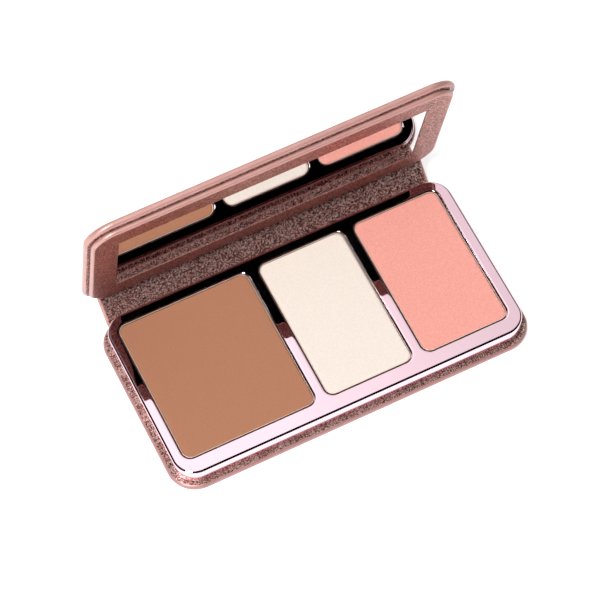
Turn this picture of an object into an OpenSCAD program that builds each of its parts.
// Face powder palette: a leatherette-wrapped book-style case with a mirrored lid,
// a metallised tray and three pressed-powder pans.
// X runs along the long side, Y from the front edge to the hinge, Z up.
// The origin is the centre of the case's underside.

/* [Case] */
// Width of the case, left to right
case_w = 135.7; // [120:0.1:160]
// Depth of the case, front to back
case_d = 71.1; // [68:0.1:90]
// Corner radius of both covers
case_r = 10.2; // [6:0.1:14]
// Thickness of each wrapped cover
cover_t = 2.6; // [2.4:0.1:3.4]
// Height of the base from its underside to the top of the tray
base_h = 9.4; // [8:0.1:14]
// Thickness of the leatherette skin
skin_t = 0.25; // [0.2:0.05:0.35]
// Thickness of the glitter liner
liner_t = 0.25; // [0.2:0.05:0.3]
// How far the liner stops short of a cover's edge
liner_inset = 0.8; // [0.6:0.1:1.2]

/* [Tray] */
// Width of the tray
tray_w = 131.4; // [128:0.1:131.6]
// Depth of the tray
tray_d = 66.9; // [64:0.1:67]
// Width of the bevel round the tray's top edge
tray_bevel = 0.4; // [0.1:0.1:0.8]
// Wall thickness of the tray
tray_wall = 1.2; // [0.8:0.1:1.6]
// Thickness of the adhesive sheet under the tray
tray_glue_t = 0.15; // [0.1:0.05:0.2]

/* [Pans] */
// Front-to-back length of the three pan recesses
pan_l = 57; // [50:0.5:57]
// Width of the large bronzer recess
bronzer_w = 49.75; // [40:0.25:49.75]
// Width of the highlighter and blush recesses
small_w = 33.15; // [25:0.05:33.15]
// Width of the tray bars between the recesses
bar_w = 3.6; // [3:0.1:3.6]
// Shift of the pans towards the right
pan_shift_x = -0.3; // [-0.5:0.1:0.5]
// Shift of the pans towards the hinge
pan_shift_y = 0.95; // [-1:0.05:1]
// Corner radius of the recesses
pan_r = 3.6; // [2:0.1:6]
// Depth of the recesses
recess_deep = 3.2; // [2.5:0.1:3.6]
// Gap between a pan and its recess
pan_gap = 0.2; // [0.1:0.05:0.4]
// Sheet thickness of a pan
pan_sheet = 0.3; // [0.2:0.05:0.5]
// How far the powder lies below the pan's rim
powder_drop = 0.2; // [0.1:0.05:0.6]

/* [Lid] */
// Width of the mirror panel
frame_w = 132.4; // [128:0.1:132.6]
// Height of the mirror panel
frame_d = 66.4; // [64:0.1:67]
// Thickness of the mirror panel
frame_t = 2; // [1.6:0.1:2.4]
// Width of the mirror window
window_w = 113.5; // [90:0.5:118]
// Height of the mirror window
window_d = 45.4; // [35:0.1:50]
// Distance from the lid hinge to the lower edge of the window
window_y = 13.1; // [11:0.1:18]
// Thickness of the mirror glass
glass_t = 1.2; // [1:0.1:1.3]
// Gap between the glass and the window's edge
glass_gap = 0.3; // [0.1:0.05:0.5]
// How far the glass lies below the panel's face
glass_sunk = 0.3; // [0.2:0.05:0.4]

/* [Hinge] */
// Distance from a cover's back edge to its fold
fold_gap = 0.48; // [0.46:0.02:0.8]
// Width of the spine, left to right
spine_w = 125.4; // [110:0.2:126]
// Thickness of the spine
spine_t = 2; // [1.8:0.1:2.2]
// Lean of the spine from flat open, as stored
spine_angle = 45.3; // [5:0.1:90]
// Lean of the lid from flat open, as stored
lid_angle = 102.8; // [60:0.1:135]

/* [Hidden] */
$fn = 64;
eps = 0.01;

// Colours
satin = [0.78, 0.56, 0.54];
glitter = [0.55, 0.38, 0.33];
greyboard = [0.62, 0.60, 0.56];
metallised = [0.95, 0.82, 0.86];
steel = [0.70, 0.71, 0.73];
tape = [0.90, 0.88, 0.80];

// Cover build-up, from the outside in
glue_line = 0.05;
board_t = cover_t - 2 * skin_t - liner_t - glue_line;
board_inset = skin_t + glue_line;
cover_edge_r = cover_t / 2;
// Height at which the liner's edge meets the rounded edge of the cover
liner_top = cover_edge_r + sqrt(pow(cover_edge_r, 2) - pow(cover_edge_r - liner_inset, 2));
liner_floor = liner_top - liner_t;
// Width of the skin that is turned in over the board's inside face
turn_in = 12;
turn_in_r = 2;

// Tray
tray_glue_inset = 0.6;
tray_z = liner_top + tray_glue_t;
tray_h = base_h - tray_z;
tray_r = case_r - (case_w - tray_w) / 2;
top_t = 1.2;
tub_wall = 0.8;
tub_floor = 0.8;
recess_z = base_h - recess_deep;
rib_t = 1;
pan_glue_t = 0.2;
// Share of a pan's length and width that its glue patch covers
pan_glue_share = 0.6;
pan_rim_drop = 0.1;
pan_h = recess_deep - pan_glue_t - pan_rim_drop;

// Pan positions: [centre x, recess width]
pans_w = bronzer_w + 2 * small_w + 2 * bar_w;
left_x = pan_shift_x - pans_w / 2;
bronzer_at = [left_x + bronzer_w / 2, bronzer_w];
highlighter_at = [left_x + bronzer_w + bar_w + small_w / 2, small_w];
blush_at = [left_x + bronzer_w + 2 * bar_w + small_w * 1.5, small_w];

// Magnets in the tray's front margin and their steel plates in the lid
magnet = [12, 3, 2];
plate = [12, 3, 0.8];
magnet_x = 42;
magnet_gap = 0.1;
magnet_y = -tray_d / 2 + tray_wall + magnet[1] / 2 + magnet_gap;
// Depth of the keeper plates below the panel's skin
plate_drop = 0.2;

// Hinge: two folds, one behind each cover, a spine's width apart
close_gap = 0.1;
fold_z = cover_t / 2;
fold_y = case_d / 2 + fold_gap;
face_h = liner_top - cover_t / 2 + frame_t;
spine_len = base_h + close_gap + face_h - fold_z;
crease_r = 0.4;
crease_web_t = 0.3;
// How far the crease's web reaches into the cover before it is trimmed to the edge
crease_bite = 0.1;
spine_end = 1.3;
tongue_t = 0.5;
tongue_gap = 0.1;
spine_skin = 0.3;
// Half the width of the spine's flat part, without its rounded ends
spine_flat = spine_w / 2 - spine_t / 2;

// Mirror panel, in the lid's own frame: y from the lid fold, z from the cover's mid-plane
frame_y = (case_d - frame_d) / 2 + fold_gap;
frame_r = case_r - (case_w - frame_w) / 2;
frame_z = liner_top - cover_t / 2;
frame_liner_inset = 1;
frame_liner_t = 0.2;
tape_t = frame_t - glass_sunk - glass_t;
tape_inset = 1;

// ---- shared shapes ----

// Sweeps a 2D edge profile (x from 0 at the corner's centre to r) round a rectangle
module swept_edge(w, d, r) {
    for (side = [0, 180])
        rotate([0, 0, side]) {
            translate([w / 2 - r, d / 2 - r, 0])
                rotate_extrude(angle = 90)
                    children();
            translate([-w / 2 + r, d / 2 - r, 0])
                rotate([0, 0, 90])
                    rotate_extrude(angle = 90)
                        children();
            translate([w / 2 - r, d / 2 - r, 0])
                rotate([90, 0, 0])
                    linear_extrude(d - 2 * r)
                        children();
            translate([-w / 2 + r, d / 2 - r, 0])
                rotate([90, 0, 90])
                    linear_extrude(w - 2 * r)
                        children();
        }
}

// A plate with fully rounded edges, standing on z = 0
module round_edged_plate(w, d, r, t) {
    translate([0, 0, t / 2])
        cube([w - 2 * r + eps, d - 2 * r + eps, t], center = true);
    swept_edge(w, d, r) {
        union() {
            square([r - t / 2, t]);
            translate([r - t / 2, t / 2])
                intersection() {
                    circle(t / 2);
                    translate([0, -t / 2])
                        square([t / 2, t]);
                }
        }
    }
}

// A plate with square edges and rounded corners, standing on z = 0
module flat_plate(w, d, r, t) {
    linear_extrude(t)
        rounded_rectangle(w, d, r);
}

module rounded_rectangle(w, d, r) {
    square([w - 2 * r, d], center = true);
    square([w, d - 2 * r], center = true);
    for (x = [-1, 1], y = [-1, 1])
        translate([x * (w / 2 - r), y * (d / 2 - r)])
            circle(r);
}

// ---- the two wrapped covers, centred on their own outline, outside face at z = 0 ----

module cover_board() {
    translate([0, 0, skin_t])
        round_edged_plate(case_w - 2 * board_inset, case_d - 2 * board_inset,
            case_r - board_inset, board_t);
    translate([0, 0, skin_t + board_t - eps])
        flat_plate(case_w - 2 * turn_in, case_d - 2 * turn_in, turn_in_r,
            liner_floor - skin_t - board_t + eps);
}

module cover_wrap() {
    difference() {
        round_edged_plate(case_w, case_d, case_r, cover_t);
        cover_board();
        translate([0, 0, liner_floor])
            flat_plate(case_w - 2 * liner_inset, case_d - 2 * liner_inset, case_r - liner_inset, cover_t);
    }
}

module cover_liner() {
    translate([0, 0, liner_floor])
        flat_plate(case_w - 2 * liner_inset, case_d - 2 * liner_inset, case_r - liner_inset, liner_t);
}

// A rod of wrap along a fold, with a web that joins it to the cover's edge in front of it
module crease() {
    rotate([0, 90, 0])
        cylinder(r = crease_r, h = 2 * spine_flat, center = true);
    translate([0, -(fold_gap + crease_bite) / 2, 0])
        cube([2 * spine_flat, fold_gap + crease_bite, crease_web_t], center = true);
}

// ---- placement ----

// The spine's own frame: y from the base fold to the lid fold, z towards the inside
module in_spine() {
    translate([0, fold_y, fold_z])
        rotate([spine_angle, 0, 0])
            children();
}

// The lid's own frame: y from the lid fold to the front lip, z towards the inside
module in_lid() {
    translate([0, fold_y + spine_len * cos(spine_angle), fold_z + spine_len * sin(spine_angle)])
        rotate([lid_angle, 0, 0])
            children();
}

// A cover's own frame inside the lid's
module in_lid_cover() {
    in_lid()
        translate([0, fold_gap + case_d / 2, -cover_t / 2])
            children();
}

// ---- base ----

module base_cover_board() {
    color(greyboard)
        cover_board();
}

module base_cover_wrap() {
    color(satin)
        cover_wrap();
}

module base_liner() {
    color(glitter)
        cover_liner();
}

module base_crease() {
    color(satin)
        difference() {
            translate([0, fold_y, fold_z])
                crease();
            translate([0, 0, -eps])
                round_edged_plate(case_w, case_d, case_r, cover_t + 2 * eps);
        }
}

module tray_adhesive() {
    color(tape)
        translate([0, 0, liner_top])
            flat_plate(tray_w - 2 * tray_glue_inset, tray_d - 2 * tray_glue_inset,
                tray_r - tray_glue_inset, tray_glue_t);
}

// Outline of one recess, grown by extra all round
module recess_outline(at, extra) {
    translate([at[0], pan_shift_y])
        rounded_rectangle(at[1] + 2 * extra, pan_l + 2 * extra, pan_r + extra);
}

module all_recesses(extra) {
    for (at = [bronzer_at, highlighter_at, blush_at])
        recess_outline(at, extra);
}

module tray_body() {
    translate([0, 0, tray_z + tray_h / 2])
        cube([tray_w - 2 * tray_r + eps, tray_d - 2 * tray_r + eps, tray_h], center = true);
    translate([0, 0, tray_z])
        swept_edge(tray_w, tray_d, tray_r)
            polygon([[0, 0], [tray_r, 0], [tray_r, tray_h - tray_bevel],
                [tray_r - tray_bevel, tray_h], [0, tray_h]]);
}

// Moulded shell: a skirt and a top plate, with three tubs let into it and open below
module tray() {
    color(metallised)
        difference() {
            tray_body();
            translate([0, 0, tray_z - 1])
                linear_extrude(tray_h + 1 - top_t)
                    difference() {
                        rounded_rectangle(tray_w - 2 * tray_wall, tray_d - 2 * tray_wall,
                            tray_r - tray_wall);
                        all_recesses(tub_wall);
                    }
            translate([0, 0, tray_z - 1])
                linear_extrude(recess_z - tub_floor - tray_z + 1)
                    difference() {
                        all_recesses(tub_wall + eps);
                        tray_ribs();
                    }
            translate([0, 0, recess_z])
                linear_extrude(recess_deep + 1)
                    all_recesses(0);
        }
}

// Ribs under the tubs that stand on the adhesive
module tray_ribs() {
    for (at = [bronzer_at, highlighter_at, blush_at])
        translate([at[0], pan_shift_y]) {
            square([rib_t, pan_l + 2 * tub_wall + 1], center = true);
            for (y = [-pan_l / 4, pan_l / 4])
                translate([0, y])
                    square([at[1] + 2 * tub_wall + 1, rib_t], center = true);
        }
}

// A pressed sheet pan: a floor and four walls
module pan(at) {
    translate([0, 0, recess_z + pan_glue_t])
        difference() {
            linear_extrude(pan_h)
                recess_outline(at, -pan_gap);
            translate([0, 0, pan_sheet])
                linear_extrude(pan_h)
                    recess_outline(at, -pan_gap - pan_sheet);
        }
}

module powder(at) {
    translate([0, 0, recess_z + pan_glue_t + pan_sheet])
        linear_extrude(pan_h - pan_sheet - powder_drop)
            recess_outline(at, -pan_gap - pan_sheet);
}

module pan_glue(at) {
    translate([at[0], pan_shift_y, recess_z + pan_glue_t / 2])
        cube([at[1] * pan_glue_share, pan_l * pan_glue_share, pan_glue_t], center = true);
}

module bronzer_pan() {
    color(steel) pan(bronzer_at);
}

module highlighter_pan() {
    color(steel) pan(highlighter_at);
}

module blush_pan() {
    color(steel) pan(blush_at);
}

module bronzer_powder() {
    color([0.74, 0.50, 0.39]) powder(bronzer_at);
}

module highlighter_powder() {
    color([0.98, 0.96, 0.91]) powder(highlighter_at);
}

module blush_powder() {
    color([0.97, 0.67, 0.62]) powder(blush_at);
}

module bronzer_pan_glue() {
    color(tape) pan_glue(bronzer_at);
}

module highlighter_pan_glue() {
    color(tape) pan_glue(highlighter_at);
}

module blush_pan_glue() {
    color(tape) pan_glue(blush_at);
}

// Bar magnet under the tray's top plate, in the front margin
module base_magnet(side) {
    color(steel)
        translate([side * magnet_x, magnet_y, base_h - top_t - magnet[2] / 2])
            cube(magnet, center = true);
}

module base_magnet_left() {
    base_magnet(-1);
}

module base_magnet_right() {
    base_magnet(1);
}

// ---- spine ----

// A flat strip of the spine between two heights, starting at y0 from each fold
module spine_slab(y0, z0, z1) {
    translate([-spine_flat, y0, z0])
        cube([2 * spine_flat, spine_len - 2 * y0, z1 - z0]);
}

module spine_core() {
    spine_slab(spine_end + spine_skin, -spine_t / 2 + spine_skin, spine_t / 2 - spine_skin);
}

module spine_board() {
    color(greyboard)
        in_spine()
            spine_core();
}

// The wrapped spine, with rounded ends and a thin tongue that reaches to each fold
module spine_shell() {
    spine_slab(spine_end, -spine_t / 2, spine_t / 2);
    for (side = [-1, 1])
        translate([side * spine_flat, spine_len / 2, 0])
            rotate([90, 0, 0])
                cylinder(r = spine_t / 2, h = spine_len - 2 * spine_end, center = true);
    spine_slab(crease_r + tongue_gap, -tongue_t / 2, tongue_t / 2);
}

module spine_wrap() {
    color(satin)
        in_spine()
            difference() {
                spine_shell();
                spine_core();
                spine_slab(spine_end, spine_t / 2 - spine_skin, spine_t);
            }
}

module spine_liner() {
    color(glitter)
        in_spine()
            spine_slab(spine_end, spine_t / 2 - spine_skin, spine_t / 2);
}

// ---- lid ----

module lid_cover_board() {
    color(greyboard)
        in_lid_cover()
            cover_board();
}

module lid_cover_wrap() {
    color(satin)
        in_lid_cover()
            cover_wrap();
}

module lid_liner() {
    color(glitter)
        in_lid_cover()
            cover_liner();
}

module lid_crease() {
    color(satin)
        difference() {
            in_lid()
                rotate([180, 0, 0])
                    crease();
            in_lid_cover()
                translate([0, 0, -eps])
                    round_edged_plate(case_w, case_d, case_r, cover_t + 2 * eps);
        }
}

// The mirror panel's own frame: centred on its outline, underside at z = 0
module in_frame() {
    in_lid()
        translate([0, frame_y + frame_d / 2, frame_z])
            children();
}

// The mirror window, in the panel's frame, grown by extra all round
module window(extra, z0, z1) {
    translate([0, window_y + window_d / 2 - frame_y - frame_d / 2, (z0 + z1) / 2])
        cube([window_w + 2 * extra, window_d + 2 * extra, z1 - z0], center = true);
}

module frame_core() {
    core_t = frame_t - 2 * skin_t;
    translate([0, 0, skin_t])
        difference() {
            round_edged_plate(frame_w - 2 * skin_t, frame_d - 2 * skin_t, frame_r - skin_t, core_t);
            window(skin_t, -1, core_t + 1);
        }
}

module plate_pockets() {
    for (side = [-1, 1])
        plate_block(side);
}

// Steel keeper plate over a base magnet when the lid is shut
module plate_block(side) {
    plate_y = fold_y - magnet_y - frame_y - frame_d / 2;
    translate([side * magnet_x, plate_y, frame_t - skin_t - plate_drop - plate[2] / 2])
        cube(plate, center = true);
}

module mirror_frame_board() {
    color(greyboard)
        in_frame()
            difference() {
                frame_core();
                plate_pockets();
            }
}

module frame_liner_shape(t) {
    translate([0, 0, frame_t - frame_liner_t])
        flat_plate(frame_w - 2 * frame_liner_inset, frame_d - 2 * frame_liner_inset,
            frame_r - frame_liner_inset, t);
}

module mirror_frame_wrap() {
    color(satin)
        in_frame()
            difference() {
                round_edged_plate(frame_w, frame_d, frame_r, frame_t);
                frame_core();
                frame_liner_shape(1);
                window(0, -1, frame_t + 1);
            }
}

module mirror_frame_liner() {
    color(glitter)
        in_frame()
            difference() {
                frame_liner_shape(frame_liner_t);
                window(0, -1, frame_t + 1);
            }
}

module mirror_glass() {
    color([0.85, 0.88, 0.90])
        in_frame()
            window(-glass_gap, tape_t, tape_t + glass_t);
}

module mirror_tape() {
    color(tape)
        in_frame()
            window(-glass_gap - tape_inset, 0, tape_t);
}

module lid_plate_left() {
    color(steel)
        in_frame()
            plate_block(-1);
}

module lid_plate_right() {
    color(steel)
        in_frame()
            plate_block(1);
}

base_cover_board();
base_cover_wrap();
base_liner();
base_crease();
tray_adhesive();
tray();
bronzer_pan();
highlighter_pan();
blush_pan();
bronzer_powder();
highlighter_powder();
blush_powder();
bronzer_pan_glue();
highlighter_pan_glue();
blush_pan_glue();
base_magnet_left();
base_magnet_right();
spine_board();
spine_wrap();
spine_liner();
lid_cover_board();
lid_cover_wrap();
lid_liner();
lid_crease();
mirror_frame_board();
mirror_frame_wrap();
mirror_frame_liner();
mirror_glass();
mirror_tape();
lid_plate_left();
lid_plate_right();
